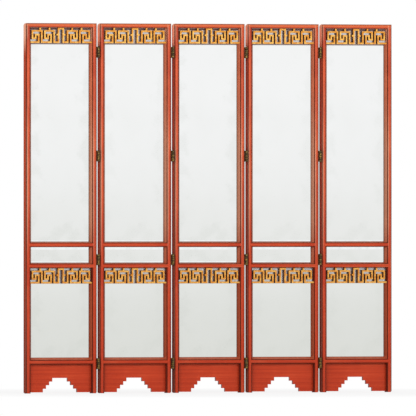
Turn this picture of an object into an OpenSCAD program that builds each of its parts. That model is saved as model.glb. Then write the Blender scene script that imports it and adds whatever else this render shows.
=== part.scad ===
// Folding screen of five panels: red lacquered frames, gilt key frets, aged mirrors and
// two-way brass hinges. Millimetres, Z up, front towards -Y, origin on the floor at the middle.

/* [Panel] */
// Height of a panel from the floor to its top edge
panel_h = 2134; // [1600:1:2400]
// Width of a panel across its two stiles
panel_w = 440.5; // [380:0.5:560]
// Gap between two panels when they stand in one line
panel_gap = 18.5; // [16:0.5:24]
// Angle at which each panel stands off the screen's line
rest_fold = 1; // [1:0.5:8]

/* [Frame] */
// Width of the stiles, seen from the front
stile_w = 28; // [28:1:40]
// Height of the rails, seen from the front
rail_w = 26; // [24:1:28]
// Thickness of the frame from front to back
frame_t = 45; // [41:1:50]
// Radius of the round nosing along the middle of stiles and rails
nose_r = 10; // [8:0.5:10.5]
// Depth of the flat shoulders beside the nosing, behind the frame's front
shoulder_depth = 7.5; // [5:0.5:8]
// Width of the quirk, the groove at each side of the nosing
quirk_w = 1.6; // [1:0.1:2]
// Depth of the quirk
quirk_d = 2; // [1:0.1:2.4]
// Radius of the outer top corners, behind the moulding
corner_r = 15; // [8:1:20]
// Depth at which the round corners begin, behind the frame's front
corner_depth = 12; // [10:0.5:20]
// Radius of the outer bottom corners
foot_r = 10; // [2:0.5:12]
// Height of the bottom rail's underside above the floor
bottom_rail_z = 167; // [140:1:220]
// Height of the lower cross rail's underside above the floor
lower_cross_z = 721.5; // [600:0.5:760]
// Height of the narrow mirror's opening between the two cross rails
narrow_h = 95.5; // [60:0.5:160]

/* [Tenons] */
// Length of a rail's tenon
tenon_l = 12; // [8:0.5:14]
// Thickness of a tenon
tenon_t = 9; // [6:0.5:12]
// Shoulder above and below a tenon
tenon_shoulder = 6; // [4:0.5:8]
// Place of the tenons behind the middle of the frame's thickness
tenon_y = 7; // [4:0.5:9]
// Clearance of a tenon in its mortise
tenon_fit = 0.15; // [0.05:0.05:0.3]

/* [Mirrors] */
// Depth of the mirrors' face behind the front of the frame
mirror_depth = 31; // [27:0.5:34]
// Thickness of a mirror
mirror_t = 4; // [3:0.5:5]
// Gap around a mirror and its back board
mirror_gap = 0.5; // [0.2:0.1:0.9]
// Thickness of a back board
board_t = 5; // [3:0.5:6]
// Width of the bevelled slips around a mirror
slip_w = 12.5; // [6:0.5:14]
// Width of the slip over the bottom rail
sill_w = 14; // [8:0.5:18]
// Width of the thin slips beside the cross rails
bead_w = 7; // [3:0.5:9]
// Depth of the slips' front edge behind the front of the frame
slip_depth = 9; // [8:0.5:16]
// Width of the flat at a slip's front edge
slip_flat = 1; // [0.5:0.1:2]
// Height of a slip's sight edge above the mirror
slip_sight = 2; // [1:0.5:7]

/* [Fret] */
// Width of the fret's bars
bar_w = 10; // [7:0.5:12]
// Depth of the fret's face behind the front of the frame
fret_depth = 12; // [10:0.5:16]
// Distance from the stile to the middle of the outermost upright bar
fret_side = 15.5; // [10:0.5:20]
// Distance from the middle of the panel to the innermost bar of the keys
fret_inner = 42; // [36:0.5:50]
// Width of the centre arch, between the middles of its bars
arch_w = 29.5; // [22:0.5:32]
// Distance from the rail down to the middle of the keys' top bars
key_drop = 18.5; // [16:0.5:26]
// Distance between the rows of the keys
key_row = 21.6; // [16:0.1:24]
// Length of the two small nubs on the centre arch
nub_l = 8; // [4:0.5:12]

/* [Apron] */
// Depth of the apron's face behind the front of the frame
apron_depth = 28; // [14:0.5:30]
// Depth of the apron's back in front of the back of the frame
apron_inset = 1; // [0:0.5:6]
// Gap between the apron and the floor
apron_lift = 6; // [3:0.5:12]
// Width of the stepped arch at its top
arch_top_w = 96; // [60:1:140]
// Number of treads on each side of the arch
arch_steps = 3; // [1:1:4]
// Width of a tread
step_run = 19.5; // [12:0.5:28]
// Height of a riser
step_rise = 20.7; // [14:0.1:26]

/* [Hinges] */
// Number of hinges between two panels
hinge_count = 4; // [3:1:5]
// Height of a hinge
hinge_h = 63; // [50:1:80]
// Height of the lowest hinge's middle above the floor
hinge_low = 171; // [120:1:200]
// Distance from the panel's top down to the highest hinge's middle
hinge_high = 166; // [120:1:220]
// Distance from a knuckle to the side of the panel
knuckle_side = 3.2; // [2:0.1:4]
// Gap between two knuckles, end to end
knuckle_gap = 0.3; // [0.2:0.1:0.6]
// Room between a knuckle and the edge of the leaf that turns round it
knuckle_room = 0.5; // [0.3:0.1:1]
// Distance of the hinge pins outside the faces of the frame
pin_proud = 1.5; // [1:0.1:3]
// Radius of a hinge pin
pin_r = 3; // [2:0.1:4]
// Clearance of a pin in its knuckles
pin_fit = 0.06; // [0.04:0.01:0.1]
// Radius of a pin's head
pin_head_r = 5; // [4.2:0.1:6]
// Height of a pin's head
pin_head_h = 2.5; // [1.5:0.1:4]
// Thickness of a leaf
leaf_t = 2.8; // [2.5:0.1:3.4]
// Reach of a leaf past the middle of the frame's thickness
leaf_reach = 8; // [7:0.5:10]
// Thickness of the link plate that joins the two pins
link_t = 3; // [2:0.5:4]

/* [Screws] */
// Distance between the screws of a leaf
screw_pitch = 20; // [15:0.5:22]
// Place of the screws past the middle of the frame's thickness
screw_y = 2; // [1:0.1:2.5]
// Radius of a screw's shank
screw_r = 1.8; // [1.4:0.1:2.2]
// Radius of a screw's head
screw_head_r = 3.6; // [3:0.1:4.2]
// Height of a screw's countersunk head
screw_head_h = 2; // [1.5:0.1:2.4]
// Length of a screw in the wood
screw_l = 11; // [8:0.5:11]
// Clearance of a screw in its hole
screw_fit = 0.1; // [0.05:0.05:0.2]
// Width and depth of the slot in a screw's head
slot = 0.8; // [0.5:0.1:1.2]

/* [Hidden] */
$fn = 48;
panels = 5;
middle_panel = ceil(panels / 2);
knuckles = 5;
screws = 3;
cut = 1;

front_y = -frame_t / 2;
back_y = frame_t / 2;
pitch = panel_w + panel_gap;
opening = panel_w - 2 * stile_w;
half_open = opening / 2;

nose_y = front_y + nose_r;
shoulder_y = front_y + shoulder_depth;
corner_y = front_y + corner_depth;

top_rail_z = panel_h - rail_w;
upper_cross_z = lower_cross_z + rail_w + narrow_h;
bottom_sight_z = bottom_rail_z + rail_w;
narrow_z = lower_cross_z + rail_w;
upper_sight_z = upper_cross_z + rail_w;
rail_zs = [bottom_rail_z, lower_cross_z, upper_cross_z];
fret_zs = [lower_cross_z, top_rail_z];
// Underside and top of each mirror's opening, from the floor up
panes = [[bottom_sight_z, lower_cross_z], [narrow_z, upper_cross_z], [upper_sight_z, top_rail_z]];

mirror_y = front_y + mirror_depth;
board_y = mirror_y + mirror_t;
slip_y = front_y + slip_depth;
fret_y = front_y + fret_depth;
apron_y = front_y + apron_depth;
apron_t = frame_t - apron_depth - apron_inset;
fret_t = mirror_y - fret_y;
fret_h = key_drop + 3 * key_row + bar_w / 2;

// The key pattern's columns and rows: column 0 is the stile, 8 the innermost bar of the keys,
// 9 the side of the centre arch and 10 the middle of the panel. Row 0 lies against the rail.
key_columns = 7;
key_pitch = (half_open - fret_side - fret_inner) / key_columns;
key_path = [
    [0, 4], [3, 4], [3, 2], [2, 2], [2, 3], [1, 3], [1, 1], [4, 1], [4, 4], [7, 4],
    [7, 2], [6, 2], [6, 3], [5, 3], [5, 1], [8, 1], [8, 4], [9, 4], [9, 0], [10, 0]
];
// Columns at which a short stub joins the keys' top bars to the rail
stub_columns = [3.5, 6.5];
nub_column = 9;
nub_row = 2;
function key_x(c) =
    c == 0 ? -half_open
    : c == 10 ? 0
    : c == 9 ? -arch_w / 2
    : -fret_inner - (key_columns + 1 - c) * key_pitch;
function key_z(r) = r == 0 ? -bar_w / 2 : -key_drop - (r - 1) * key_row;

knuckle_r = panel_gap / 2 - knuckle_side;
knuckle_h = hinge_h / knuckles;
pin_y = frame_t / 2 + pin_proud;
leaf_face_x = -panel_gap / 2 + leaf_t;
hinge_step = (panel_h - hinge_high - hinge_low) / (hinge_count - 1);
hinge_zs = [for (i = [0 : hinge_count - 1]) hinge_low + i * hinge_step];

// The side of each joint that is a little open at rest: 1 is the back pin, -1 the front pin
function side(j) = j % 2 == 1 ? -1 : 1;
// Turn of a panel about Z
function turn(k) = k % 2 == 1 ? rest_fold : -rest_fold;
function turned(a, p) = [p.x * cos(a) - p.y * sin(a), p.x * sin(a) + p.y * cos(a)];
// Middle of a panel in plan, worked out from its neighbour through the pin that is open
function middle(k) =
    k == middle_panel ? [0, 0]
    : k > middle_panel
        ? middle(k - 1) + turned(turn(k - 1), [pitch / 2, side(k - 1) * pin_y])
            - turned(turn(k), [-pitch / 2, side(k - 1) * pin_y])
        : middle(k + 1) + turned(turn(k + 1), [-pitch / 2, side(k) * pin_y])
            - turned(turn(k), [pitch / 2, side(k) * pin_y]);

PANEL_NODES = [
    "stile_left", "stile_right", "top_rail", "cross_rails", "apron", "slips", "mirrors",
    "back_boards", "frets", "hinge_leaves"
];
JOINT_NODES = ["hinge_links", "hinge_pins"];

lacquer = [0.80, 0.28, 0.17];
lacquer_deep = [0.72, 0.24, 0.15];
gilt = [0.90, 0.63, 0.22];
silvered = [0.88, 0.90, 0.89];
backing = [0.30, 0.12, 0.08];
brass = [0.58, 0.50, 0.28];

// Placing
module on_panel(k) {
    translate(concat(middle(k), 0)) rotate([0, 0, turn(k)]) children();
}

module in_gap(j) {
    k = side(j) > 0 ? j : j + 1;
    on_panel(k) translate([side(j) * pitch / 2, 0, 0]) children();
}

module at_hinges() {
    for (z = hinge_zs) translate([0, 0, z]) children();
}

// A prism that stands from front to back, from points given as x and z
module through(points, y0 = front_y - cut, y1 = back_y + cut) {
    translate([0, y1, 0]) rotate([90, 0, 0]) linear_extrude(y1 - y0) polygon(points);
}

// Section of a stile or rail: x across it, y from front to back
module nosing_2d() {
    intersection() {
        translate([0, nose_y]) circle(r = nose_r);
        translate([-nose_r, front_y - cut]) square([2 * nose_r, shoulder_depth + cut]);
    }
}

module frame_2d(w) {
    translate([0, nose_y]) circle(r = nose_r);
    difference() {
        translate([-w / 2, shoulder_y]) square([w, back_y - shoulder_y]);
        translate([-nose_r - quirk_w, shoulder_y - cut])
            square([2 * (nose_r + quirk_w), quirk_d + cut]);
    }
}

// Lays a section along X, from the middle of its length
module along_x(length) {
    translate([-length / 2, 0, 0]) rotate([0, 90, 0]) linear_extrude(length) children();
}

// Wood cut from the outer top corner of a stile, and of the rail that meets it there
module corner_cut() {
    low = panel_h - corner_r;
    side = -stile_w / 2;
    difference() {
        through([
            [side - cut, low], [side + corner_r, low],
            [side + corner_r, panel_h + cut], [side - cut, panel_h + cut]
        ], y0 = corner_y);
        translate([side + corner_r, back_y + 2 * cut, low]) rotate([90, 0, 0])
            cylinder(r = corner_r, h = back_y - corner_y + 3 * cut);
    }
}

// Wood cut from the outer bottom corner of a stile
module foot_cut() {
    side = -stile_w / 2;
    difference() {
        through([
            [side - cut, -cut], [side + foot_r, -cut], [side + foot_r, foot_r], [side - cut, foot_r]
        ]);
        translate([side + foot_r, back_y + 2 * cut, foot_r]) rotate([90, 0, 0])
            cylinder(r = foot_r, h = frame_t + 4 * cut);
    }
}

// Stiles: a mitre at the top, and a notch in the nosing and a mortise for each rail
module stile() {
    difference() {
        linear_extrude(panel_h) frame_2d(stile_w);
        through([
            [-rail_w / 2 - cut, panel_h + cut],
            [stile_w / 2 + cut, panel_h + cut],
            [stile_w / 2 + cut, top_rail_z],
            [rail_w / 2, top_rail_z]
        ]);
        corner_cut();
        foot_cut();
        for (z = rail_zs) {
            translate([0, 0, z + rail_w / 2]) {
                through([[0, 0], [stile_w, stile_w], [stile_w, -stile_w]], y1 = shoulder_y);
                mortise();
            }
        }
    }
}

module mortise() {
    tenon_h = rail_w - 2 * tenon_shoulder;
    translate([
        stile_w / 2 - tenon_l - tenon_fit,
        tenon_y - tenon_t / 2 - tenon_fit,
        -tenon_h / 2 - tenon_fit
    ])
        cube([tenon_l + tenon_fit + cut, tenon_t + 2 * tenon_fit, tenon_h + 2 * tenon_fit]);
}

// Pilot holes for the hinge screws, on the side of a stile that faces the gap
module pilot_holes(sign) {
    translate([sign * pitch / 2, 0, 0]) rotate([0, 0, sign > 0 ? 0 : 180])
        at_hinges() at_screws()
            translate([0, 0, leaf_t - cut])
                cylinder(r = screw_r + screw_fit, h = cut + screw_l + screw_fit);
}

module stile_left(k) {
    color(lacquer) on_panel(k) difference() {
        translate([-panel_w / 2 + stile_w / 2, 0, 0]) stile();
        if (k > 1) pilot_holes(-1);
    }
}

module stile_right(k) {
    color(lacquer) on_panel(k) difference() {
        translate([panel_w / 2 - stile_w / 2, 0, 0]) mirror([1, 0, 0]) stile();
        if (k < panels) pilot_holes(1);
    }
}

// Rails
module top_rail(k) {
    nose_x = panel_w / 2 - stile_w / 2;
    color(lacquer) on_panel(k) difference() {
        intersection() {
            translate([0, 0, top_rail_z + rail_w / 2]) along_x(panel_w) frame_2d(rail_w);
            through([
                [-nose_x + rail_w / 2, top_rail_z],
                [nose_x - rail_w / 2, top_rail_z],
                [nose_x + rail_w / 2, panel_h],
                [-nose_x - rail_w / 2, panel_h]
            ]);
        }
        for (s = [0, 1]) mirror([s, 0, 0]) translate([-nose_x, 0, 0]) corner_cut();
    }
}

module rail() {
    reach = half_open + stile_w / 2;
    tenon_h = rail_w - 2 * tenon_shoulder;
    intersection() {
        along_x(2 * reach) nosing_2d();
        through([
            [-reach, 0], [-reach + rail_w / 2, rail_w / 2], [reach - rail_w / 2, rail_w / 2],
            [reach, 0], [reach - rail_w / 2, -rail_w / 2], [-reach + rail_w / 2, -rail_w / 2]
        ]);
    }
    along_x(opening) frame_2d(rail_w);
    translate([-half_open - tenon_l, tenon_y - tenon_t / 2, -tenon_h / 2])
        cube([opening + 2 * tenon_l, tenon_t, tenon_h]);
}

module cross_rails(k) {
    color(lacquer) on_panel(k)
        for (z = rail_zs) translate([0, 0, z + rail_w / 2]) rail();
}

// Apron with its stepped arch
module apron(k) {
    arch = [
        for (s = [-1, 1])
            for (n = [0 : arch_steps])
                let (i = s < 0 ? n : arch_steps - n)
                let (x = s * (arch_top_w / 2 + (arch_steps - i) * step_run))
                let (low = apron_lift + i * step_rise, high = low + step_rise)
                for (z = s < 0 ? [i == 0 ? -cut : low, high] : [high, i == 0 ? -cut : low]) [x, z]
    ];
    color(lacquer_deep) on_panel(k) difference() {
        translate([-half_open, apron_y, apron_lift])
            cube([opening, apron_t, bottom_rail_z - apron_lift]);
        through(arch);
    }
}

// Bevelled slips: section with x away from the frame and y from front to back
module slip_2d(w) {
    polygon([
        [0, slip_y], [slip_flat, slip_y], [w, mirror_y - slip_sight], [w, mirror_y], [0, mirror_y]
    ]);
}

// The slips around one pane, with mitred corners. A width of 0 leaves that slip out
module slip_frame(low, high, low_w, high_w) {
    for (s = [0, 1]) mirror([s, 0, 0]) intersection() {
        translate([-half_open, 0, low]) linear_extrude(high - low) slip_2d(slip_w);
        through([
            [-half_open, low], [-half_open + slip_w, low + low_w],
            [-half_open + slip_w, high - high_w], [-half_open, high]
        ]);
    }
    if (low_w > 0) intersection() {
        translate([0, 0, low]) mirror([0, 0, 1]) along_x(opening) slip_2d(low_w);
        slip_end(low, low_w);
    }
    if (high_w > 0) intersection() {
        translate([0, 0, high]) along_x(opening) slip_2d(high_w);
        slip_end(high, -high_w);
    }
}

module slip_end(z, w) {
    through([
        [-half_open, z], [half_open, z], [half_open - slip_w, z + w], [-half_open + slip_w, z + w]
    ]);
}

module slips(k) {
    color(lacquer) on_panel(k) {
        slip_frame(bottom_sight_z, lower_cross_z - fret_h, sill_w, 0);
        slip_frame(narrow_z, upper_cross_z, bead_w, 0);
        slip_frame(upper_sight_z, top_rail_z - fret_h, bead_w, 0);
    }
}

// Mirrors and the boards behind them
module plates(y, t) {
    for (pane = panes)
        translate([-half_open + mirror_gap, y, pane[0] + mirror_gap])
            cube([opening - 2 * mirror_gap, t, pane[1] - pane[0] - 2 * mirror_gap]);
}

module mirrors(k) {
    color(silvered) on_panel(k) plates(mirror_y, mirror_t);
}

module back_boards(k) {
    color(backing) on_panel(k) plates(board_y, board_t);
}

// Key fret, drawn down from the underside of its rail
module bar_2d(p, q, w0 = bar_w / 2) {
    low = [min(p.x, q.x), min(p.y, q.y)];
    high = [max(p.x, q.x), max(p.y, q.y)];
    translate(low - [w0, w0]) square(high - low + [2 * w0, 2 * w0]);
}

module half_fret_2d() {
    points = [for (p = key_path) [key_x(p[0]), key_z(p[1])]];
    for (i = [0 : len(points) - 2]) bar_2d(points[i], points[i + 1]);
    for (c = stub_columns) bar_2d([key_x(c), key_z(1)], [key_x(c), key_z(0)]);
    nub = [key_x(nub_column), key_z(nub_row)];
    bar_2d(nub - [nub_l, 0], nub);
}

module fret_2d() {
    intersection() {
        union() {
            half_fret_2d();
            mirror([1, 0]) half_fret_2d();
        }
        translate([-half_open, -fret_h]) square([opening, fret_h]);
    }
}

module frets(k) {
    color(gilt) on_panel(k)
        for (z = fret_zs)
            translate([0, mirror_y, z]) rotate([90, 0, 0]) linear_extrude(fret_t) fret_2d();
}

// Hinges, drawn in the gap's own frame with the panel of the leaf on the left
module knuckle(i, y) {
    low = -hinge_h / 2 + i * knuckle_h + (i > 0 ? knuckle_gap / 2 : 0);
    high = -hinge_h / 2 + (i + 1) * knuckle_h - (i < knuckles - 1 ? knuckle_gap / 2 : 0);
    translate([0, y, low]) linear_extrude(high - low) {
        circle(r = knuckle_r);
        children();
    }
}

// Room cut from a plate for the knuckle that turns beside it
module knuckle_cut(i, sign) {
    room = knuckle_r + knuckle_room;
    translate([-panel_gap, sign > 0 ? pin_y - room : -pin_y - room, -hinge_h / 2 + i * knuckle_h])
        translate([0, 0, -knuckle_gap / 2])
            cube([2 * panel_gap, 2 * room, knuckle_h + knuckle_gap]);
}

module bore(sign) {
    translate([0, sign * pin_y, -hinge_h / 2 - cut])
        cylinder(r = pin_r + pin_fit, h = hinge_h + 2 * cut);
}

// Places its child on each screw's axis, with Z into the wood
module at_screws() {
    for (i = [0 : screws - 1])
        translate([leaf_face_x, screw_y, (i - (screws - 1) / 2) * screw_pitch])
            rotate([0, -90, 0]) children();
}

module screw() {
    difference() {
        union() {
            cylinder(r1 = screw_head_r, r2 = screw_r, h = screw_head_h);
            cylinder(r = screw_r, h = leaf_t + screw_l);
        }
        translate([-screw_head_r - cut, -slot / 2, -cut])
            cube([2 * screw_head_r + 2 * cut, slot, slot + cut]);
    }
}

module screw_hole() {
    translate([0, 0, -cut]) cylinder(r = screw_r + screw_fit, h = leaf_t + 2 * cut);
    cylinder(r1 = screw_head_r + screw_fit, r2 = screw_r + screw_fit, h = screw_head_h);
    translate([0, 0, -cut]) cylinder(r = screw_head_r + screw_fit, h = cut);
}

// The part of a leaf that rolls over into its knuckle
module roll_2d() {
    translate([-panel_gap / 2, 0]) square([panel_gap / 2, knuckle_r - leaf_t]);
}

module leaf() {
    difference() {
        union() {
            difference() {
                translate([-panel_gap / 2, -pin_y, -hinge_h / 2])
                    cube([leaf_t, pin_y + leaf_reach, hinge_h]);
                for (i = [1 : 2 : knuckles - 1]) knuckle_cut(i, -1);
            }
            for (i = [0 : 2 : knuckles - 1]) knuckle(i, -pin_y) roll_2d();
        }
        bore(-1);
        at_screws() screw_hole();
    }
}

module leaf_and_screws() {
    leaf();
    at_screws() screw();
}

module hinge_leaves(k) {
    color(brass) on_panel(k) {
        if (k < panels) translate([pitch / 2, 0, 0]) at_hinges() leaf_and_screws();
        if (k > 1)
            translate([-pitch / 2, 0, 0]) rotate([0, 0, 180]) at_hinges() leaf_and_screws();
    }
}

module link() {
    difference() {
        union() {
            difference() {
                translate([-link_t / 2, -pin_y, -hinge_h / 2])
                    cube([link_t, 2 * pin_y, hinge_h]);
                for (sign = [-1, 1]) for (i = [0 : 2 : knuckles - 1]) knuckle_cut(i, sign);
            }
            for (sign = [-1, 1]) for (i = [1 : 2 : knuckles - 1]) knuckle(i, sign * pin_y);
        }
        bore(-1);
        bore(1);
    }
}

module pin() {
    translate([0, 0, -hinge_h / 2]) cylinder(r = pin_r, h = hinge_h + knuckle_gap);
    translate([0, 0, hinge_h / 2 + knuckle_gap])
        cylinder(r1 = pin_head_r, r2 = pin_r, h = pin_head_h);
}

module hinge_links(j) {
    color(brass) in_gap(j) at_hinges() link();
}

module hinge_pins(j) {
    color(brass) in_gap(j) at_hinges()
        for (sign = [-1, 1]) translate([0, sign * pin_y, 0]) pin();
}

for (k = [1 : panels]) {
    stile_left(k);
    stile_right(k);
    top_rail(k);
    cross_rails(k);
    apron(k);
    slips(k);
    mirrors(k);
    back_boards(k);
    frets(k);
    hinge_leaves(k);
}
for (j = [1 : panels - 1]) {
    hinge_links(j);
    hinge_pins(j);
}
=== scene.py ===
"""Looks of a five-panel folding screen: worn red lacquer, gilt key frets, aged mirrors and
two-way brass hinges, in a plain studio. Lengths are in metres."""

import logging
import math
from collections.abc import Mapping, Sequence
from dataclasses import dataclass, field
from enum import Enum
from typing import Any

import bmesh
import bpy
from mathutils import Matrix, Vector


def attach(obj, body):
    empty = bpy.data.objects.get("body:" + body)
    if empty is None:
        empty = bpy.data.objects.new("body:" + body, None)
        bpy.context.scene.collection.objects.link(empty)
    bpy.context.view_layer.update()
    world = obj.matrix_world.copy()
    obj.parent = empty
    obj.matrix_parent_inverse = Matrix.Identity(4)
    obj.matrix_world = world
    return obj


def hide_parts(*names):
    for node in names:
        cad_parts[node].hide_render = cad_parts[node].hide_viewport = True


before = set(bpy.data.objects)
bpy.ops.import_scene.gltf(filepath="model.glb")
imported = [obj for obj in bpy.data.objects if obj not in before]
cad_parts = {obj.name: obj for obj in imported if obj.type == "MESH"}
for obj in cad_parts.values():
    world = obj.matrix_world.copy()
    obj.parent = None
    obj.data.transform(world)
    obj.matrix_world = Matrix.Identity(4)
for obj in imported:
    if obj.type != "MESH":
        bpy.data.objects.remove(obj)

log = logging.getLogger("folding_screen")

Colour = tuple[float, float, float, float]
Span = tuple[float, float]

FOXING: Mapping[int, float] = {1: 1.0, 2: 0.55, 3: 0.85, 4: 0.5, 5: 0.6}
NEAR = 1e-5
WELD = 1e-6


def paint(red: int, green: int, blue: int) -> Colour:
    """Turns a colour as it is seen on a chart into the linear values a shader takes.

    Args:
        red: Red, 0 to 255.
        green: Green, 0 to 255.
        blue: Blue, 0 to 255.

    Returns:
        Linear red, green, blue and an alpha of 1.
    """

    def linear(value: int) -> float:
        """Gives the linear value of one channel."""
        share = value / 255
        return share / 12.92 if share <= 0.04045 else ((share + 0.055) / 1.055) ** 2.4

    return linear(red), linear(green), linear(blue), 1.0


class Grain(Enum):
    """Which way a piece of wood runs."""

    UPRIGHT = (1.0, 1.0, 0.022)
    LEVEL = (0.022, 1.0, 1.0)


@dataclass(frozen=True)
class Sizes:
    """Sizes that the panels share."""

    height: float = 2.134
    panel_width: float = 0.4405
    gap: float = 0.0185
    stile_width: float = 0.028
    rail_width: float = 0.026
    front: float = -0.0225
    shoulder: float = -0.015
    pin_depth: float = 0.024
    fold: float = 1.0
    panels: int = 5
    middle_panel: int = 3
    bottom_rail: float = 0.167
    lower_cross: float = 0.7215
    narrow_pane: float = 0.0955
    mirror_depth: float = 0.0085
    mirror_thickness: float = 0.004
    mirror_gap: float = 0.0005
    board_thickness: float = 0.005
    fret_depth: float = -0.0105
    apron_front: float = 0.0055
    apron_back: float = 0.0215

    @property
    def half_open(self) -> float:
        """Half the clear width between the stiles."""
        return self.panel_width / 2 - self.stile_width

    @property
    def top_rail(self) -> float:
        """Height of the top rail's underside."""
        return self.height - self.rail_width

    @property
    def panes(self) -> list[tuple[float, float]]:
        """Underside and top of each mirror's opening, from the floor up."""
        narrow = self.lower_cross + self.rail_width
        upper = narrow + self.narrow_pane + self.rail_width
        return [
            (self.bottom_rail + self.rail_width, self.lower_cross),
            (narrow, narrow + self.narrow_pane),
            (upper, self.top_rail),
        ]


class Wire:
    """A shader socket that takes part in arithmetic."""

    def __init__(self, board: "Board", socket: bpy.types.NodeSocket) -> None:
        """Keeps the board that the socket is on."""
        self.board = board
        self.socket = socket

    def _math(self, operation: str, *operands: Any) -> "Wire":
        """Adds a Math node for these operands."""
        return self.board.add(
            "ShaderNodeMath", {"operation": operation}, dict(enumerate(operands))
        )

    def __add__(self, other: Any) -> "Wire":
        """Adds."""
        return self._math("ADD", self, other)

    def __radd__(self, other: Any) -> "Wire":
        """Adds, from the right."""
        return self._math("ADD", other, self)

    def __sub__(self, other: Any) -> "Wire":
        """Subtracts."""
        return self._math("SUBTRACT", self, other)

    def __rsub__(self, other: Any) -> "Wire":
        """Subtracts, from the right."""
        return self._math("SUBTRACT", other, self)

    def __mul__(self, other: Any) -> "Wire":
        """Multiplies."""
        return self._math("MULTIPLY", self, other)

    def __rmul__(self, other: Any) -> "Wire":
        """Multiplies, from the right."""
        return self._math("MULTIPLY", other, self)

    def __abs__(self) -> "Wire":
        """Gives the size without the sign."""
        return self._math("ABSOLUTE", self)

    def most(self, other: Any) -> "Wire":
        """Gives the greater of the two."""
        return self._math("MAXIMUM", self, other)

    def least(self, other: Any) -> "Wire":
        """Gives the lesser of the two."""
        return self._math("MINIMUM", self, other)

    def wrap(self, low: float, high: float) -> "Wire":
        """Repeats the range from low to high."""
        return self._math("WRAP", self, high, low)

    def rise(self, low: float, high: float) -> "Wire":
        """Rises smoothly from 0 at low to 1 at high.

        Args:
            low: Value at which the result is 0.
            high: Value at which the result is 1. It may be below low.

        Returns:
            The share between them.
        """
        if low > high:
            return 1 - self.rise(high, low)
        return self.board.add(
            "ShaderNodeMapRange",
            {"interpolation_type": "SMOOTHSTEP"},
            {"Value": self, "From Min": low, "From Max": high},
        )

    def band(self, base: float, span: Span) -> "Wire":
        """Rises over a span whose two ends are measured from a base."""
        return self.rise(base + span[0], base + span[1])


class Board:
    """The shader nodes of one material or world."""

    def __init__(self, owner: bpy.types.Material | bpy.types.World) -> None:
        """Clears the owner's nodes."""
        owner.use_nodes = True
        self.tree = owner.node_tree
        self.tree.nodes.clear()

    def add(
        self,
        kind: str,
        settings: Mapping[str, Any] | None = None,
        inputs: Mapping[str | int, Any] | None = None,
        output: str | int = 0,
    ) -> Wire:
        """Adds a node.

        Args:
            kind: The node's type.
            settings: Its own settings, set first.
            inputs: The value or the link of each socket, by name or number.
            output: The socket that the result is taken from.

        Returns:
            The output's wire.
        """
        node = self.tree.nodes.new(kind)
        for name, value in (settings or {}).items():
            setattr(node, name, value)
        for name, value in (inputs or {}).items():
            socket = node.inputs[name]
            if isinstance(value, Wire):
                self.tree.links.new(value.socket, socket)
            else:
                socket.default_value = value
        return Wire(self, node.outputs[output])

    def mix(self, share: Any, under: Any, over: Any) -> Wire:
        """Mixes two colours.

        Args:
            share: How much of the second colour shows, 0 to 1.
            under: The first colour.
            over: The second colour.

        Returns:
            The mixed colour.
        """
        return self.add(
            "ShaderNodeMix", {"data_type": "RGBA"}, {0: share, 6: under, 7: over}, output=2
        )

    def split(self, place: Wire) -> list[Wire]:
        """Gives a position's three parts, one along each axis."""
        return [
            self.add("ShaderNodeSeparateXYZ", None, {0: place}, output=axis) for axis in range(3)
        ]

    def stretch(self, place: Wire, factors: Sequence[float]) -> Wire:
        """Scales a position along each axis."""
        return self.add(
            "ShaderNodeVectorMath", {"operation": "MULTIPLY"}, {0: place, 1: tuple(factors)}
        )

    def noise(self, place: Wire, scale: float, detail: float = 2.0, rough: float = 0.5) -> Wire:
        """Gives a soft noise around 0.5.

        Args:
            place: The position.
            scale: Waves to a metre.
            detail: Octaves.
            rough: How strong the finer octaves are.

        Returns:
            The noise.
        """
        return self.add(
            "ShaderNodeTexNoise",
            None,
            {"Vector": place, "Scale": scale, "Detail": detail, "Roughness": rough},
        )

    def bump(self, height: Wire, depth: float, strength: float = 1.0) -> Wire:
        """Gives a normal that follows a height from 0 to 1 over a depth in metres."""
        return self.add(
            "ShaderNodeBump", None, {"Height": height, "Distance": depth, "Strength": strength}
        )

    def finish(self, **sockets: Any) -> None:
        """Closes the board with a Principled shader, its sockets named with underscores."""
        named = {key.replace("_", " "): value for key, value in sockets.items()}
        shader = self.add("ShaderNodeBsdfPrincipled", None, named)
        self.add_output("ShaderNodeOutputMaterial", shader)

    def add_output(self, kind: str, shader: Wire) -> None:
        """Adds the output node and links the shader to it."""
        node = self.tree.nodes.new(kind)
        self.tree.links.new(shader.socket, node.inputs["Surface"])


@dataclass(frozen=True)
class Place:
    """Where a panel stands: its middle on the floor and its turn about Z, in degrees."""

    middle: tuple[float, float]
    turn: float

    def out(self, x: float, y: float) -> tuple[float, float]:
        """Gives the floor position of a point of the panel.

        Args:
            x: Across the panel.
            y: Towards its back.

        Returns:
            The point's x and y in the screen's frame.
        """
        angle = math.radians(self.turn)
        cos, sin = math.cos(angle), math.sin(angle)
        return (
            self.middle[0] + x * cos - y * sin,
            self.middle[1] + x * sin + y * cos,
        )

    @property
    def matrix(self) -> Matrix:
        """The panel's frame."""
        return Matrix.Translation((*self.middle, 0.0)) @ Matrix.Rotation(
            math.radians(self.turn), 4, "Z"
        )

    def position(self, board: Board) -> Wire:
        """Gives a surface's position in the panel's own frame.

        Args:
            board: The material's board.

        Returns:
            The position as a vector.
        """
        back = self.matrix.inverted()
        return board.add(
            "ShaderNodeMapping",
            None,
            {
                "Vector": board.add("ShaderNodeTexCoord", output="Object"),
                "Location": back.to_translation(),
                "Rotation": (0.0, 0.0, -math.radians(self.turn)),
            },
        )


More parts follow.
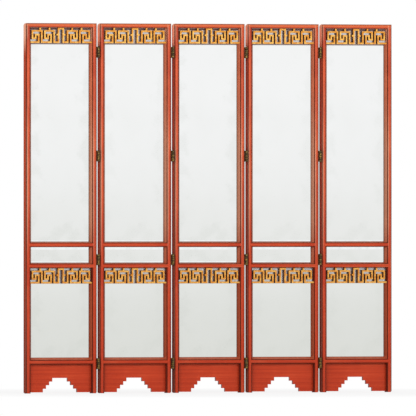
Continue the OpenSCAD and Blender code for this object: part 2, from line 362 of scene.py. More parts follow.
def stand(sizes: Sizes) -> dict[int, Place]:
    """Works out where each panel stands in the slight zigzag.

    Args:
        sizes: The shared sizes.

    Returns:
        Each panel's place by its number.
    """

    def turn(number: int) -> float:
        """Gives a panel's turn."""
        return sizes.fold if number % 2 else -sizes.fold

    def side(joint: int) -> int:
        """Gives the side of a gap whose pin stands open."""
        return -1 if joint % 2 else 1

    reach = (sizes.panel_width + sizes.gap) / 2
    places = {sizes.middle_panel: Place((0.0, 0.0), turn(sizes.middle_panel))}
    for number in range(sizes.middle_panel + 1, sizes.panels + 1):
        depth = side(number - 1) * sizes.pin_depth
        start = places[number - 1].out(reach, depth)
        step = Place((0.0, 0.0), turn(number)).out(-reach, depth)
        places[number] = Place((start[0] - step[0], start[1] - step[1]), turn(number))
    for number in range(sizes.middle_panel - 1, 0, -1):
        depth = side(number) * sizes.pin_depth
        start = places[number + 1].out(-reach, depth)
        step = Place((0.0, 0.0), turn(number)).out(reach, depth)
        places[number] = Place((start[0] - step[0], start[1] - step[1]), turn(number))
    return places


class Work(Enum):
    """What a lacquered piece is, which decides where it is rubbed and where painted shade,
    painted highlights and darker colour go on it.
    """

    MOULDING = "moulding"
    SLIP = "slip"
    APRON = "apron"
    PLAIN = "plain"


@dataclass(frozen=True)
class Bands:
    """Heights over which painted highlights, painted shade and a darkening towards the floor lie
    on
    the lacquer: where a change starts and is full. The spans named after the top are measured
    from it."""

    # Heights over which mouldings and slips darken towards the floor.
    darker_low: Span = (1.4, 0.05)
    # Heights over which the sides turn browner towards the floor.
    brown: Span = (1.4, 0.25)
    # Heights of the painted shade on the stiles' inner walls beside the apron.
    wall_shade: Span = (0.9, 0.6)
    # Where the painted sheen lies: a little over the fronts from 0.7 m up, and on the nose
    # flanks through the middle and near the top.
    lit: Span = (0.7, 1.2)
    sheen_from: Span = (0.72, 1.05)
    sheen_to: Span = (1.80, 1.35)
    sheen_top: Span = (2.02, 2.08)
    slip_shade: Span = (0.76, 0.70)
    sill: Span = (0.206, 0.214)
    above_sill: Span = (0.200, 0.214)
    # Where the painted highlight near the top of the sides and arrises lies.
    lit_top_span: Span = (-0.20, -0.06)
    # Where the painted highlight at the top of the fronts lies.
    top_highlight_span: Span = (-0.018, -0.011)


@dataclass(frozen=True)
class Section:
    """Where the parts of a moulding begin and are full, measured from its shoulder, its outer
    edge, its opening or the middle of its nosing."""

    behind: Span = (0.0004, 0.0012)
    flank: Span = (-0.0042, -0.0006)
    flat: Span = (-0.0008, -0.0002)
    groove_near: Span = (0.0003, 0.0008)
    groove_far: Span = (0.0028, 0.0022)
    arris_near: Span = (-0.0010, -0.0003)
    arris_far: Span = (0.0050, 0.0020)
    outer_edge: Span = (-0.0042, -0.0016)
    opening: Span = (0.0015, 0.0008)
    nose_flank: Span = (-0.0032, -0.0062)
    nose_inside: Span = (-0.0125, -0.0110)
    sight: Span = (-0.0030, -0.0015)
    cut: Span = (0.0006, 0.0020)


@dataclass(frozen=True)
class Lacquer:
    """Old red lacquer over wood, rubbed light in patches, with painted shade in its quirks and
    recesses and painted highlights on its nose flanks and near its top.
    """

    fresh: Colour = paint(220, 84, 44)
    deep: Colour = paint(182, 54, 28)
    rubbed: Colour = paint(232, 122, 82)
    # Dark brown for worn specks and dirt; also laid on as painted shade in quirks, grooves,
    # rebates and along the glass.
    grime_and_shade: Colour = paint(62, 26, 15)
    side: Colour = paint(182, 66, 36)
    # Painted highlight colour for the top of the sides.
    lit_top_colour: Colour = paint(255, 184, 150)
    # Painted sheen colour.
    sheen_colour: Colour = paint(225, 188, 155)
    red_shade: Colour = paint(160, 64, 32)
    # Painted shade colour for the deep corners beside the apron.
    corner: Colour = paint(92, 14, 5)
    dusty: Colour = paint(178, 124, 106)
    # Painted highlight colour for the fronts near the top.
    top_highlight: Colour = paint(250, 136, 80)
    rubbing: float = 0.5
    work: Work = Work.MOULDING
    roughness: float = 0.32
    bands: Bands = Bands()
    section: Section = Section()

    def make(
        self, name: str, place: Place, grain: Grain, sizes: Sizes
    ) -> bpy.types.Material:
        """Makes the material for one piece of a panel.

        Args:
            name: The material's name.
            place: Where the panel stands.
            grain: Which way the piece runs.
            sizes: The shared sizes.

        Returns:
            The material.
        """
        material = bpy.data.materials.new(name)
        board = Board(material)
        here = place.position(board)
        across, depth, height = board.split(here)
        along = board.stretch(here, grain.value)

        clouds = board.noise(here, 4.0, 3.0)
        streaks = board.noise(along, 260.0, 4.0, 0.6)
        long_tone = board.noise(along, 90.0, 2.0)
        tone = clouds.rise(0.36, 0.66) * 0.5 + long_tone.rise(0.35, 0.65) * 0.5
        # Mouldings and slips turn towards the deep colour and are rubbed less towards the floor,
        # so they are darker low down.
        darkens_low = self.work in (Work.MOULDING, Work.SLIP)
        low = height.rise(*self.bands.darker_low) if darkens_low else 0.0
        colour = board.mix(tone * (1 - low * 0.7), self.deep, self.fresh)

        rub = (long_tone * 0.6 + board.noise(here, 7.0, 2.0) * 0.4).rise(0.5, 0.66)
        colour = board.mix(rub * self.rubbing * (1 - low * 0.6), colour, self.rubbed)
        colour = board.mix(streaks.rise(0.58, 0.74) * 0.3, colour, self.deep)

        rough = self.roughness
        if self.work is Work.MOULDING:
            colour, rough = self._age(board, colour, across, depth, height, along, sizes)
        elif self.work is Work.SLIP:
            colour = self._painted_slip_light(board, colour, depth, height, sizes)
        elif self.work is Work.APRON:
            start, full = self.section.cut
            cut = depth.band(sizes.apron_front, (start, full))
            cut = cut * depth.band(sizes.apron_back, (-start, -full))
            colour = board.mix(cut * 0.75, colour, self.grime_and_shade)

        worn = board.noise(along, 150.0, 5.0, 0.65).rise(0.64, 0.72)
        worn = worn * board.noise(here, 11.0, 2.0).rise(0.44, 0.6)
        colour = board.mix(worn * 0.7, colour, self.grime_and_shade)

        gloss = rough + 0.14 * streaks.rise(0.3, 0.7) + 0.14 * worn
        relief = streaks * 0.5 + board.noise(here, 900.0, 2.0) * 0.2 + (1 - worn) * 0.3
        board.finish(
            Base_Color=colour,
            Roughness=gloss,
            Normal=board.bump(relief, 0.0004, 0.5),
            Specular_IOR_Level=0.34,
            Specular_Tint=(1.0, 0.62, 0.48, 1.0),
            Coat_Weight=0.03,
            Coat_Roughness=0.3,
        )
        return material

    def _sheen(self, height: Wire) -> Wire:
        """Gives the share of painted sheen at a height: a band through the middle and the top.
        """
        middle = height.rise(*self.bands.sheen_from) * height.rise(*self.bands.sheen_to)
        return middle.most(height.rise(*self.bands.sheen_top) * 0.8)

    def _painted_slip_light(
        self, board: Board, colour: Wire, depth: Wire, height: Wire, sizes: Sizes
    ) -> Wire:
        """Lays painted light and shade on the slips: painted shade at the glass and deeper in
        the rebate, a painted sheen at mid-height and near the top, and a painted shade of deep
        red low down.

        Args:
            board: The material's board.
            colour: The lacquer so far.
            depth: Place from front to back.
            height: Height above the floor.
            sizes: The shared sizes.

        Returns:
            The colour with its painted light and shade.
        """
        bands = self.bands
        # Painted shade along the glass edge.
        sight = depth.band(sizes.mirror_depth, self.section.sight)
        colour = board.mix(sight * 0.8, colour, self.grime_and_shade)
        # Painted sheen at mid-height and near the top.
        colour = board.mix(self._sheen(height) * 0.3, colour, self.sheen_colour)
        # Painted shade: deep red on the slips low down, but not on the sill.
        deep = height.rise(*bands.slip_shade) * height.rise(*bands.sill)
        colour = board.mix(deep * 0.8, colour, self.red_shade)
        # Painted shade deeper in the rebate towards the glass, leaving the sill, which faces the
        # light, lighter.
        inner = depth.rise(sizes.shoulder, sizes.mirror_depth)
        inner = inner * height.rise(*bands.above_sill)
        return board.mix(inner * 0.52, colour, self.grime_and_shade)

    def _age(
        self, board: Board, colour: Wire, across: Wire, depth: Wire, height: Wire,
        along: Wire, sizes: Sizes,
    ) -> tuple[Wire, Wire]:  # fmt: skip
        """Lays wear and painted light on a moulding: sides browner towards the floor with a
        painted highlight at the top, painted shade in the quirks, shoulders and inner walls,
        painted sheen on the nose flanks and near the top, and pale worn arrises.

        Args:
            board: The material's board.
            colour: The lacquer so far.
            across: Place across the panel.
            depth: Place from front to back.
            height: Height above the floor.
            along: The position drawn out along the grain.
            sizes: The shared sizes.

        Returns:
            The colour with its wear and painted light, and its roughness.
        """
        bands, section, shoulder = self.bands, self.section, sizes.shoulder
        patches = board.noise(along, 60.0, 3.0)
        behind = depth.band(shoulder, section.behind)
        # The sides behind the shoulder take the side colour, browner towards the floor, and are
        # paled near the top as a painted highlight.
        high = height.band(sizes.height, bands.lit_top_span)
        side = board.mix(height.rise(*bands.brown) * 0.57, self.side, self.grime_and_shade)
        side = board.mix(high * 0.95, side, self.lit_top_colour)
        colour = board.mix(behind * 0.92, colour, side)

        # Painted shade: the stiles' inner walls low down, beside the apron, are darkened as a
        # shaded red corner.
        wall_shade = abs(across).band(sizes.half_open, section.opening)
        wall_shade = wall_shade * behind * height.rise(*bands.wall_shade)
        colour = board.mix(wall_shade * 0.85, colour, self.corner)

        # Painted sheen: the left-facing flanks of both stiles' noses are paled as a highlight of
        # light from the left, most at mid-height and near the top, and the fronts get a little
        # more above about a metre.
        nose = (sizes.panel_width - sizes.stile_width) / 2
        lit = across.band(-nose, section.nose_flank)
        inner = across.band(nose, section.nose_flank) * across.band(nose, section.nose_inside)
        flank_sheen = (lit + inner) * 0.42
        flank_sheen = flank_sheen * self._sheen(height) + height.rise(*bands.lit) * 0.045
        colour = board.mix(flank_sheen * (1 - behind), colour, self.sheen_colour)

        # Painted shade: the nose flank by the shoulder, the shoulder flat and the groove are
        # darkened where the quirk lies in shade.
        flank = depth.band(shoulder, section.flank)
        flat = depth.band(shoulder, section.flat)
        ledge_shade = (flank * 0.35 + flat * 0.5 * (0.5 + patches)) * (1 - behind)
        colour = board.mix(ledge_shade.least(0.85), colour, self.grime_and_shade)
        groove_shade = depth.band(shoulder, section.groove_near)
        groove_shade = groove_shade * depth.band(shoulder, section.groove_far)
        colour = board.mix(groove_shade * 0.8, colour, self.grime_and_shade)

        # Painted highlight: the fronts near the top are lightened where the light falls
        # brighter.
        top_highlight = height.band(sizes.height, bands.top_highlight_span) * (1 - behind)
        colour = board.mix(top_highlight * 0.45, colour, self.top_highlight)

        edge = abs(across).band(sizes.panel_width / 2, section.outer_edge)
        edge = edge * depth.band(shoulder, section.arris_near)
        edge = edge * depth.band(shoulder, section.arris_far)
        # The worn arrises are pale in patches, paler near the top where the painted highlight
        # lies.
        pale = (0.35 + 0.5 * high) * patches.rise(0.4, 0.58)
        colour = board.mix(edge * pale.least(0.8), colour, self.dusty)
        return colour, self.roughness + 0.4 * behind + 0.15 * flat


@dataclass(frozen=True)
class Gilding:
    """Gold leaf over red bole, rubbed through at the edges, dark at the sides: partly their own
    ungilt colour, partly painted shade.
    """

    leaf: Colour = paint(234, 158, 58)
    bright: Colour = paint(255, 200, 100)
    bole: Colour = paint(164, 76, 24)
    # Bar sides: their own ungilt dark colour, darkened further as painted shade.
    side: Colour = paint(108, 56, 28)
    face: Span = (0.0028, 0.0012)
    # Heights over which the gilt turns further to the bole colour towards the floor.
    redder_low: Span = (1.4, 0.8)

    def make(self, name: str, place: Place, front: float) -> bpy.types.Material:
        """Makes the material for one panel's frets.

        Args:
            name: The material's name.
            place: Where the panel stands.
            front: Depth of the fret's face in the panel.

        Returns:
            The material.
        """
        material = bpy.data.materials.new(name)
        board = Board(material)
        here = place.position(board)
        _, depth, height = board.split(here)
        face = depth.band(front, self.face)
        patches = board.noise(here, 55.0, 3.0)
        wear = board.noise(here, 130.0, 4.0, 0.65).rise(0.57, 0.68) * 0.8
        gold = board.mix(patches.rise(0.42, 0.62), self.leaf, self.bright)
        # Rubbed spots, plus more bole colour towards the floor, so the gilt is darker low down.
        bole_share = wear + height.rise(*self.redder_low) * 0.22
        gold = board.mix(bole_share.least(0.85), gold, self.bole)
        # The sides take the dark side colour, partly painted shade; the face takes the gilt.
        colour = board.mix(face, self.side, gold)
        shine = face * (1 - wear * 0.8)
        relief = board.noise(here, 260.0, 3.0)
        board.finish(
            Base_Color=colour,
            Metallic=shine * 0.6,
            Roughness=0.52 - shine * 0.1 + 0.15 * relief,
            Normal=board.bump(relief, 0.0006, 0.6),
        )
        return material


@dataclass(frozen=True)
class Silvering:
    """Aged mirror glass, foxed near its edges, greyer towards the floor as a painted reflection
    of the floor.
    """

    # The glass greys from high to low towards the floor as a painted reflection of the floor.
    high: Colour = paint(243, 244, 244)
    low: Colour = paint(218, 220, 215)
    fox: Colour = paint(168, 172, 164)
    haze: Colour = paint(206, 210, 204)
    shade: Colour = paint(100, 48, 30)
    margin_pale: Colour = paint(243, 247, 247)
    margin_grey: Colour = paint(232, 238, 238)
    tone: Span = (1.8, 0.0)
    edge_from: float = 0.07
    foot: Span = (0.16, 0.0)
    sill: Span = (-0.01, 0.001)
    upper_rail: tuple[float, float, float] = (0.94, 0.0100, 0.75)
    lower_rail: tuple[float, float, float] = (0.5, 0.0060, 0.0)
    soft: float = 0.002
    seam: Span = (0.002, 0.001)
    line: Span = (-0.0085, -0.0070)

    def make(self, name: str, place: Place, sizes: Sizes, foxing: float) -> bpy.types.Material:
        """Makes the material for one panel's mirrors.

        Args:
            name: The material's name.
            place: Where the panel stands.
            sizes: The shared sizes.
            foxing: How far the silvering has gone, 0 to 1.

        Returns:
            The material.
        """
        material = bpy.data.materials.new(name)
        board = Board(material)
        here = place.position(board)
        across, _, height = board.split(here)
        # Painted reflection: greyer towards the floor, as if reflecting it, with a soft random
        # tone.
        tone = height.rise(*self.tone) + (board.noise(here, 2.2, 3.0) - 0.5) * 0.5
        colour = board.mix(tone.least(1.0).most(0.0), self.high, self.low)

        edge = abs(across).rise(self.edge_from, sizes.half_open)
        for low, _ in sizes.panes:
            edge = edge.most(height.band(low, self.foot) * height.band(low, self.sill))
        bloom = (board.noise(here, 9.0, 4.0, 0.6) + edge * 0.24).rise(0.58, 0.8)
        fine = board.noise(here, 420.0, 3.0, 0.7).rise(0.6, 0.68)
        large = board.noise(here, 150.0, 4.0, 0.8).rise(0.62, 0.7)
        spots = (fine * 0.75 + large * 0.6).least(1.0) * bloom * foxing
        colour = board.mix(bloom * 0.18 * foxing, colour, self.haze)
        colour = board.mix(spots * 0.85, colour, self.fox)
        shade = self._shade(height, sizes)
        board.finish(
            Base_Color=board.mix(shade, colour, self.shade),
            Metallic=1.0 - 0.8 * shade,
            Roughness=0.03 + 0.22 * spots + 0.04 * bloom + 0.5 * shade,
        )
        return material

    def _shade(self, height: Wire, sizes: Sizes) -> Wire:
        """Gives the painted shade and painted reflections on the glass behind the frets and
        close under their rails.

        Args:
            height: Height above the floor.
            sizes: The shared sizes.

        Returns:
            The share of shade.
        """
        upper, lower = (
            self._rail_shade(height, rail, rail - KeyFret(sizes).height, *amounts)
            for rail, amounts in (
                (sizes.top_rail, self.upper_rail),
                (sizes.lower_cross, self.lower_rail),
            )
        )
        return upper.most(lower)

    def _rail_shade(
        self, height: Wire, rail: float, fret: float, close: float, reach: float, line: float
    ) -> Wire:
        """Gives the painted shade and painted reflection that one rail and its fret lay on the
        glass.

        Args:
            height: Height above the floor.
            rail: Height of the rail's underside.
            fret: Height of the fret's lower edge.
            close: How dark it is close under the rail.
            reach: How far down that reaches.
            line: How dark the painted reflection line below the fret is.

        Returns:
            The share of shade.
        """
        # Painted shade and reflection of the rail's underside, close under the rail.
        under = height.rise(rail - reach - self.soft, rail - reach) * close
        # Painted shade over the glass behind the fret.
        behind = height.rise(fret - self.soft, fret) * 0.3
        # Painted reflection of the bars' undersides: a dark line just below the fret.
        edge = height.band(fret, self.line) * height.rise(fret + self.soft, fret) * line
        return under.most(behind).most(edge) * height.band(rail, self.seam)

    def bevel(self, name: str, sizes: Sizes) -> bpy.types.Material:
        """Makes the cleaner glass of the bevelled margin, with the same painted shade under the
        rails and behind the frets.

        Args:
            name: The material's name.
            sizes: The shared sizes.

        Returns:
            The material.
        """
        material = bpy.data.materials.new(name)
        board = Board(material)
        here = board.add("ShaderNodeTexCoord", output="Object")
        tone = board.noise(here, 30.0, 3.0).rise(0.35, 0.7)
        shade = self._shade(board.split(here)[2], sizes)
        glass = board.mix(tone, self.margin_pale, self.margin_grey)
        board.finish(
            Base_Color=board.mix(shade, glass, self.shade),
            Metallic=1.0 - 0.8 * shade,
            Roughness=0.04 + 0.05 * tone + 0.5 * shade,
        )
        return material


@dataclass(frozen=True)
class AgedBrass:
    """Brass gone olive brown, rubbed bright where it is handled."""

    metal: Colour = paint(138, 114, 62)
    patina: Colour = paint(66, 52, 28)
    bright: Colour = paint(196, 170, 104)
    grime_and_shade: Colour = paint(34, 25, 14)
    brightness: float = 0.3
    knuckle: float = 0.0126
    first_hinge: float = 0.171
    hinge_step: float = 0.599
    knuckle_end: Span = (0.0036, 0.0056)

    def make(self, name: str) -> bpy.types.Material:
        """Makes the material.

        Args:
            name: The material's name.

        Returns:
            The material.
        """
        material = bpy.data.materials.new(name)
        board = Board(material)
        here = board.add("ShaderNodeTexCoord", output="Object")
        cloud = board.noise(here, 70.0, 4.0, 0.6)
        patina = cloud.rise(0.38, 0.6)
        rub = board.noise(here, 190.0, 3.0).rise(0.56, 0.72) * self.brightness
        colour = board.mix(rub, board.mix(patina, self.metal, self.patina), self.bright)
        half_step, half_knuckle = self.hinge_step / 2, self.knuckle / 2
        local = (board.split(here)[2] - self.first_hinge).wrap(-half_step, half_step)
        ends = abs(local.wrap(-half_knuckle, half_knuckle)).rise(*self.knuckle_end)
        colour = board.mix(ends * 0.85, colour, self.grime_and_shade)
        board.finish(
            Base_Color=colour,
            Metallic=1.0 - 0.35 * patina,
            Roughness=0.34 + 0.26 * patina,
            Normal=board.bump(board.noise(here, 700.0, 3.0), 0.0003, 0.4),
        )
        return material


def shape_box(work: bmesh.types.BMesh, low: Vector, high: Vector) -> None:
    """Adds a box to a bmesh.

    Args:
        work: The bmesh.
        low: The box's lowest corner.
        high: The box's highest corner.
    """
    middle = Matrix.Translation((low + high) / 2) @ Matrix.Diagonal((*(high - low), 1.0))
    bmesh.ops.create_cube(work, size=1.0, matrix=middle)


def make_piece(
    name: str, work: bmesh.types.BMesh, place: Matrix, body: str
) -> bpy.types.Object:
    """Turns a bmesh into a piece that rides on a body.

    Args:
        name: The piece's name.
        work: The bmesh, in the panel's frame. It is freed.
        place: The panel's frame.
        body: The body it rides on.

    Returns:
        The piece, with its place in its mesh.
    """
    bmesh.ops.recalc_face_normals(work, faces=work.faces[:])
    bmesh.ops.transform(work, matrix=place, verts=work.verts[:])
    mesh = bpy.data.meshes.new(name)
    work.to_mesh(mesh)
    work.free()
    piece = bpy.data.objects.new(name, mesh)
    bpy.context.scene.collection.objects.link(piece)
    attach(piece, body)
    return piece


@dataclass
class KeyFret:
    """A key fret: flat bars cut from one board, their front edges eased."""

    sizes: Sizes
    bar: float = 0.010
    side_bar: float = 0.0155
    inner_bar: float = 0.042
    arch: float = 0.0295
    drop: float = 0.0185
    row: float = 0.0216
    nub: float = 0.008
    ease: float = 0.0016
    columns: int = 7
    arch_column: int = 9
    middle_column: int = 10
    nub_row: int = 2
    path: Sequence[tuple[int, int]] = (
        (0, 4), (3, 4), (3, 2), (2, 2), (2, 3), (1, 3), (1, 1), (4, 1), (4, 4), (7, 4),
        (7, 2), (6, 2), (6, 3), (5, 3), (5, 1), (8, 1), (8, 4), (9, 4), (9, 0), (10, 0),
    )  # fmt: skip
    stubs: Sequence[float] = (3.5, 6.5)

    @property
    def height(self) -> float:
        """The fret's height."""
        return self.drop + 3 * self.row + self.bar / 2

    def _x(self, column: float) -> float:
        """Gives a column's place across the panel."""
        if column == 0:
            return -self.sizes.half_open
        if column == self.middle_column:
            return 0.0
        if column == self.arch_column:
            return -self.arch / 2
        pitch = (self.sizes.half_open - self.side_bar - self.inner_bar) / self.columns
        return -self.inner_bar - (self.columns + 1 - column) * pitch

    def _z(self, row: int) -> float:
        """Gives a row's place below the rail."""
        return -self.bar / 2 if row == 0 else -self.drop - (row - 1) * self.row

    def bars(self) -> list[tuple[float, float, float, float]]:
        """Lays out the bars.

        Returns:
            Each bar's left, low, right and high edge.
        """
        points = [(self._x(column), self._z(row)) for column, row in self.path]
        runs = list(zip(points, points[1:]))
        runs += [((self._x(c), self._z(1)), (self._x(c), self._z(0))) for c in self.stubs]
        arch, level = self._x(self.arch_column), self._z(self.nub_row)
        runs.append(((arch - self.nub, level), (arch, level)))
        half, limit = self.bar / 2, self.sizes.half_open
        found = []
        for (x0, z0), (x1, z1) in runs:
            left, right = min(x0, x1) - half, max(x0, x1) + half
            low, high = max(min(z0, z1) - half, -self.height), min(max(z0, z1) + half, 0.0)
            found.append((max(left, -limit), low, min(right, limit), high))
            found.append((max(-right, -limit), low, min(-left, limit), high))
        return found

    def cut(self, rail: float) -> bmesh.types.BMesh:
        """Cuts the fret from a board.

        Args:
            rail: Height of the rail's underside.

        Returns:
            The fret's bmesh in the panel's frame.
        """
        work, bars = bmesh.new(), self.bars()
        limit = self.sizes.half_open
        board = (
            Matrix.Translation((0.0, 0.0, -self.height / 2))
            @ Matrix.Diagonal((2 * limit, 1.0, self.height, 1.0))
            @ Matrix.Rotation(math.radians(90), 4, "X")
        )
        bmesh.ops.create_grid(work, x_segments=1, y_segments=1, size=0.5, matrix=board)
        for axis, picks in ((Vector((1, 0, 0)), (0, 2)), (Vector((0, 0, 1)), (1, 3))):
            for place in sorted({round(bar[pick], 6) for bar in bars for pick in picks}):
                bmesh.ops.bisect_plane(
                    work,
                    geom=work.verts[:] + work.edges[:] + work.faces[:],
                    plane_co=axis * place,
                    plane_no=axis,
                    dist=WELD,
                )
        waste = []
        for face in work.faces:
            at = face.calc_center_median()
            if not any(b[0] < at.x < b[2] and b[1] < at.z < b[3] for b in bars):
                waste.append(face)
        bmesh.ops.delete(work, geom=waste, context="FACES")
        bmesh.ops.dissolve_limit(
            work, angle_limit=0.01, verts=work.verts[:], edges=work.edges[:]
        )
        front, back = self.sizes.fret_depth, self.sizes.mirror_depth
        bmesh.ops.translate(work, verts=work.verts[:], vec=(0.0, back, 0.0))
        grown = bmesh.ops.extrude_face_region(work, geom=work.faces[:])["geom"]
        raised = [item for item in grown if isinstance(item, bmesh.types.BMVert)]
        bmesh.ops.translate(work, verts=raised, vec=(0.0, front - back, 0.0))
        bmesh.ops.recalc_face_normals(work, faces=work.faces[:])
        bmesh.ops.bevel(
            work,
            geom=self._front_edges(work, front),
            offset=self.ease,
            affect="EDGES",
            segments=2,
            profile=0.5,
            material=-1,
        )
        bmesh.ops.translate(work, verts=work.verts[:], vec=(0.0, 0.0, rail))
        return work

    def _front_edges(self, work: bmesh.types.BMesh, front: float) -> list[bmesh.types.BMEdge]:
        """Finds the edges around the fret's face, away from the stiles and the rail."""
        found, limit = [], self.sizes.half_open - NEAR
        for edge in work.edges:
            if any(abs(v.co.y - front) > WELD for v in edge.verts):
                continue
            at_stile = all(abs(v.co.x) > limit for v in edge.verts)
            at_rail = all(v.co.z > -NEAR for v in edge.verts)
            if len(edge.link_faces) == 2 and not at_stile and not at_rail:
                found.append(edge)
        return found


def join(works: Sequence[bmesh.types.BMesh]) -> bmesh.types.BMesh:
    """Puts several bmeshes into one and frees them."""
    whole, mesh = bmesh.new(), bpy.data.meshes.new("joining")
    for work in works:
        work.to_mesh(mesh)
        whole.from_mesh(mesh)
        work.free()
    bpy.data.meshes.remove(mesh)
    return whole


@dataclass
class MirrorSet:
    """A panel's three mirrors, each with a bevelled margin."""

    sizes: Sizes
    margin: float = 0.019
    fall: float = 0.0010

    def cut(self) -> bmesh.types.BMesh:
        """Cuts the three plates.

        Returns:
            Their bmesh in the panel's frame, the margins with material 1.
        """
        sizes, works = self.sizes, []
        near = sizes.mirror_depth
        for low, high in sizes.panes:
            work = bmesh.new()
            reach = sizes.half_open - sizes.mirror_gap
            shape_box(
                work,
                Vector((-reach, near, low + sizes.mirror_gap)),
                Vector((reach, near + sizes.mirror_thickness, high - sizes.mirror_gap)),
            )
            bmesh.ops.recalc_face_normals(work, faces=work.faces[:])
            front = [face for face in work.faces if face.normal.y < -0.9]
            rim = list(front[0].verts)
            ring = bmesh.ops.inset_region(work, faces=front, thickness=self.margin)["faces"]
            bmesh.ops.translate(work, verts=rim, vec=(0.0, self.fall, 0.0))
            for face in ring:
                face.material_index = 1
            works.append(work)
        return join(works)


@dataclass
class Brads:
    """Small domed brads that hold the back boards."""

    sizes: Sizes
    radius: float = 0.0026
    inset: float = 0.010
    pitch: float = 0.09
    dome: float = 0.55

    def drive(self) -> bmesh.types.BMesh:
        """Places the brads along the edges of each board.

        Returns:
            Their bmesh in the panel's frame.
        """
        sizes = self.sizes
        back = sizes.mirror_depth + sizes.mirror_thickness + sizes.board_thickness
        reach = sizes.half_open - self.inset
        work = bmesh.new()
        for low, high in sizes.panes:
            for z in (low + self.inset, high - self.inset):
                for x in self._spread(-reach, reach):
                    self._head(work, Vector((x, back, z)))
            for z in self._spread(low + self.inset, high - self.inset)[1:-1]:
                for x in (-reach, reach):
                    self._head(work, Vector((x, back, z)))
        return work

    def _spread(self, start: float, end: float) -> list[float]:
        """Spaces places evenly from start to end."""
        count = max(1, round((end - start) / self.pitch))
        return [start + (end - start) * n / count for n in range(count + 1)]

    def _head(self, work: bmesh.types.BMesh, at: Vector) -> None:
        """Adds one flattened head."""
        shape = Matrix.Translation(at) @ Matrix.Diagonal((1.0, self.dome, 1.0, 1.0))
        bmesh.ops.create_uvsphere(
            work, u_segments=10, v_segments=6, radius=self.radius, matrix=shape
        )


def dress(node: str, material: bpy.types.Material) -> None:
    """Gives a carried-over piece its finish.

    Args:
        node: The piece's name.
        material: Its finish.
    """
    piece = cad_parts[node]
    if not piece.material_slots:
        piece.data.materials.append(material)
    for slot in piece.material_slots:
        slot.material = material


@dataclass
class Panel:
    """One panel of the screen with its finishes."""

    number: int
    sizes: Sizes
    place: Place
    foxing: float

    @property
    def body(self) -> str:
        """The body that the panel's pieces ride on."""
        return f"panel_{self.number}"

    def build(self) -> None:
        """Dresses the wood and sets the frets, mirrors and brads."""
        self._dress_wood()
        self._set_frets()
        self._set_mirrors()
        self._drive_brads()
        log.info("panel %d stands at %.3f, %.3f", self.number, *self.place.middle)

    def _name(self, word: str) -> str:
        """Adds the panel's number to a name."""
        return f"{word}_{self.number}"

    def _dress_wood(self) -> None:
        """Gives the frame, apron, slips and boards their lacquer."""
        kinds = {
            "stile": (Lacquer(), Grain.UPRIGHT),
            "rail": (Lacquer(), Grain.LEVEL),
            "apron": (
                Lacquer(
                    fresh=paint(208, 70, 36), deep=paint(180, 54, 28),
                    rubbed=paint(218, 92, 58), rubbing=0.25, work=Work.APRON,
                ),
                Grain.LEVEL,
            ),
            "slip": (
                Lacquer(
                    fresh=paint(200, 106, 72), deep=paint(168, 76, 48), rubbing=0.4,
                    work=Work.SLIP,
                ),
                Grain.UPRIGHT,
            ),
            "board": (
                Lacquer(
                    fresh=paint(96, 34, 26), deep=paint(66, 24, 20), rubbed=paint(120, 52, 38),
                    grime_and_shade=paint(30, 14, 12), rubbing=0.3, work=Work.PLAIN, roughness=0.5,
                ),
                Grain.UPRIGHT,
            ),
        }  # fmt: skip
        made = {
            word: finish.make(self._name(word + "_lacquer"), self.place, grain, self.sizes)
            for word, (finish, grain) in kinds.items()
        }
        for word, kind in (
            ("stile_left", "stile"), ("stile_right", "stile"), ("top_rail", "rail"),
            ("cross_rails", "rail"), ("apron", "apron"), ("slips", "slip"),
            ("back_boards", "board"),
        ):  # fmt: skip
            dress(self._name(word), made[kind])

    def _set_frets(self) -> None:
        """Cuts the two frets and gilds them."""
        fret = KeyFret(self.sizes)
        work = join([fret.cut(self.sizes.top_rail), fret.cut(self.sizes.lower_cross)])
        piece = make_piece(
            self._name("key_frets"), work, self.place.matrix, self.body
        )
        piece.data.materials.append(
            Gilding().make(self._name("gilding"), self.place, self.sizes.fret_depth)
        )
        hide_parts(self._name("frets"))

    def _set_mirrors(self) -> None:
        """Cuts the mirrors and silvers them."""
        piece = make_piece(
            self._name("bevelled_mirrors"), MirrorSet(self.sizes).cut(), self.place.matrix,
            self.body,
        )  # fmt: skip
        silver = Silvering()
        piece.data.materials.append(
            silver.make(self._name("silvering"), self.place, self.sizes, self.foxing)
        )
        piece.data.materials.append(silver.bevel(self._name("mirror_bevel"), self.sizes))
        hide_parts(self._name("mirrors"))

    def _drive_brads(self) -> None:
        """Drives the brads of the back boards."""
        piece = make_piece(
            self._name("board_brads"), Brads(self.sizes).drive(), self.place.matrix,
            self.body,
        )  # fmt: skip
        for face in piece.data.polygons:
            face.use_smooth = True
        piece.data.materials.append(AgedBrass().make(self._name("brad_brass")))


@dataclass(frozen=True)
class Lamp:
    """A square soft lamp: its place, its power in watts, its side, and whether it shows in
    mirrors and as a highlight."""

    name: str
    at: tuple[float, float, float]
    power: float
    size: float = 3.0
    mirrored: bool = True


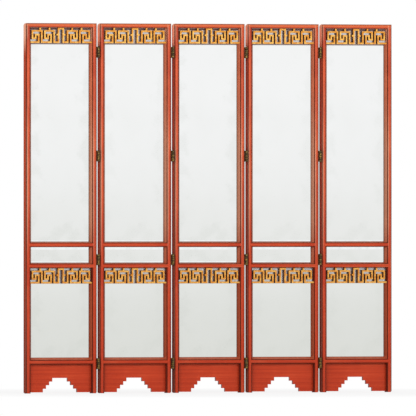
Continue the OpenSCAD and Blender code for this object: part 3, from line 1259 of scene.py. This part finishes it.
@dataclass
class Studio:
    """A plain pale floor, soft light and a far camera.

    The camera is far enough off that lines stay nearly parallel, and near enough that a view
    from another side, which keeps its lens, still reaches the screen.
    """

    eye_turn: float = -21.75
    distance: float = 100.0
    view_width: float = 2.4064
    sensor: float = 36.0
    aim: Vector = field(default_factory=lambda: Vector((-0.0033, 0.0, 1.0688)))
    ambient: float = 0.5
    floor_reach: float = 14.0
    floor_tone: float = 0.86
    floor_glow: float = 0.8
    floor_fade: Span = (1.5, 3.0)
    lamps: Sequence[Lamp] = (
        Lamp("key_lamp", (2.6, -4.6, 2.2), 85.0, mirrored=False),
        Lamp("fill_lamp", (-4.2, -4.0, 2.4), 115.0),
        Lamp("back_lamp", (0.6, 5.2, 3.8), 120.0),
    )

    def build(self) -> None:
        """Sets the floor, the light and the camera."""
        self._floor()
        self._world()
        for lamp in self.lamps:
            self._hang(lamp)
        self._camera()
        bpy.context.scene.view_settings.view_transform = "Standard"

    def _white_share(self, board: Board) -> Wire:
        """Gives 1 for what the camera, a mirror or glass sees, and 0 for other light."""
        rays = [
            board.add("ShaderNodeLightPath", output=name)
            for name in ("Is Camera Ray", "Is Glossy Ray", "Is Transmission Ray")
        ]
        return rays[0].most(rays[1]).most(rays[2])

    def _floor(self) -> None:
        """Lays the floor."""
        work = bmesh.new()
        bmesh.ops.create_grid(work, x_segments=1, y_segments=1, size=self.floor_reach)
        mesh = bpy.data.meshes.new("floor")
        work.to_mesh(mesh)
        work.free()
        floor = bpy.data.objects.new("floor", mesh)
        bpy.context.scene.collection.objects.link(floor)
        material = bpy.data.materials.new("floor_white")
        board = Board(material)
        tone = (self.floor_tone,) * 3
        matt = board.add("ShaderNodeBsdfDiffuse", None, {"Color": (*tone, 1.0)})
        glow = board.add("ShaderNodeEmission", None, {"Color": (1.0, 1.0, 1.0, 1.0)})
        here = board.add("ShaderNodeTexCoord", output="Object")
        away = board.add("ShaderNodeVectorMath", {"operation": "LENGTH"}, {0: here}, output=1)
        rest = round(1 - self.floor_glow, 6)
        glow_share = self.floor_glow + rest * away.rise(*self.floor_fade)
        share = self._white_share(board) * glow_share
        board.add_output(
            "ShaderNodeOutputMaterial",
            board.add("ShaderNodeMixShader", None, {0: share, 1: matt, 2: glow}),
        )
        mesh.materials.append(material)

    def _world(self) -> None:
        """Sets a white surround that lights the screen softly."""
        world = bpy.data.worlds.new("surround")
        bpy.context.scene.world = world
        board = Board(world)
        white = {"Color": (1.0, 1.0, 1.0, 1.0)}
        light = board.add("ShaderNodeBackground", None, {**white, "Strength": self.ambient})
        seen = board.add("ShaderNodeBackground", None, {**white, "Strength": 1.0})
        share = self._white_share(board)
        board.add_output(
            "ShaderNodeOutputWorld",
            board.add("ShaderNodeMixShader", None, {0: share, 1: light, 2: seen}),
        )

    def _hang(self, lamp: Lamp) -> None:
        """Hangs a lamp so that it faces the screen's middle."""
        data = bpy.data.lights.new(lamp.name, "AREA")
        data.shape, data.size, data.energy = "SQUARE", lamp.size, lamp.power
        hung = bpy.data.objects.new(lamp.name, data)
        hung.location = lamp.at
        hung.visible_glossy = lamp.mirrored
        towards = self.aim - Vector(lamp.at)
        hung.rotation_euler = towards.to_track_quat("-Z", "Y").to_euler()
        bpy.context.scene.collection.objects.link(hung)

    def _camera(self) -> None:
        """Sets the camera at the photograph's angle."""
        turn = math.radians(self.eye_turn)
        away = Vector((math.sin(turn), -math.cos(turn), 0.0))
        data = bpy.data.cameras.new("camera")
        data.sensor_width = self.sensor
        data.lens = data.sensor_width * self.distance / self.view_width
        data.clip_end = 2 * self.distance
        camera = bpy.data.objects.new("camera", data)
        camera.location = self.aim + away * self.distance
        camera.rotation_euler = (-away).to_track_quat("-Z", "Y").to_euler()
        bpy.context.scene.collection.objects.link(camera)
        bpy.context.scene.camera = camera


def main() -> None:
    """Dresses the screen and sets the studio."""
    logging.basicConfig(level=logging.INFO, format="%(message)s")
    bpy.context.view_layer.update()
    sizes = Sizes()
    for number, place in sorted(stand(sizes).items()):
        Panel(number, sizes, place, FOXING[number]).build()
    leaf_brass = AgedBrass().make("leaf_brass")
    pin_brass = AgedBrass(brightness=0.7).make("pin_brass")
    for number in range(1, sizes.panels + 1):
        dress(f"hinge_leaves_{number}", leaf_brass)
    for number in range(1, sizes.panels):
        dress(f"hinge_links_{number}", leaf_brass)
        dress(f"hinge_pins_{number}", pin_brass)
    log.info("hinges dressed")
    Studio().build()


if __name__ == "__main__":
    main()
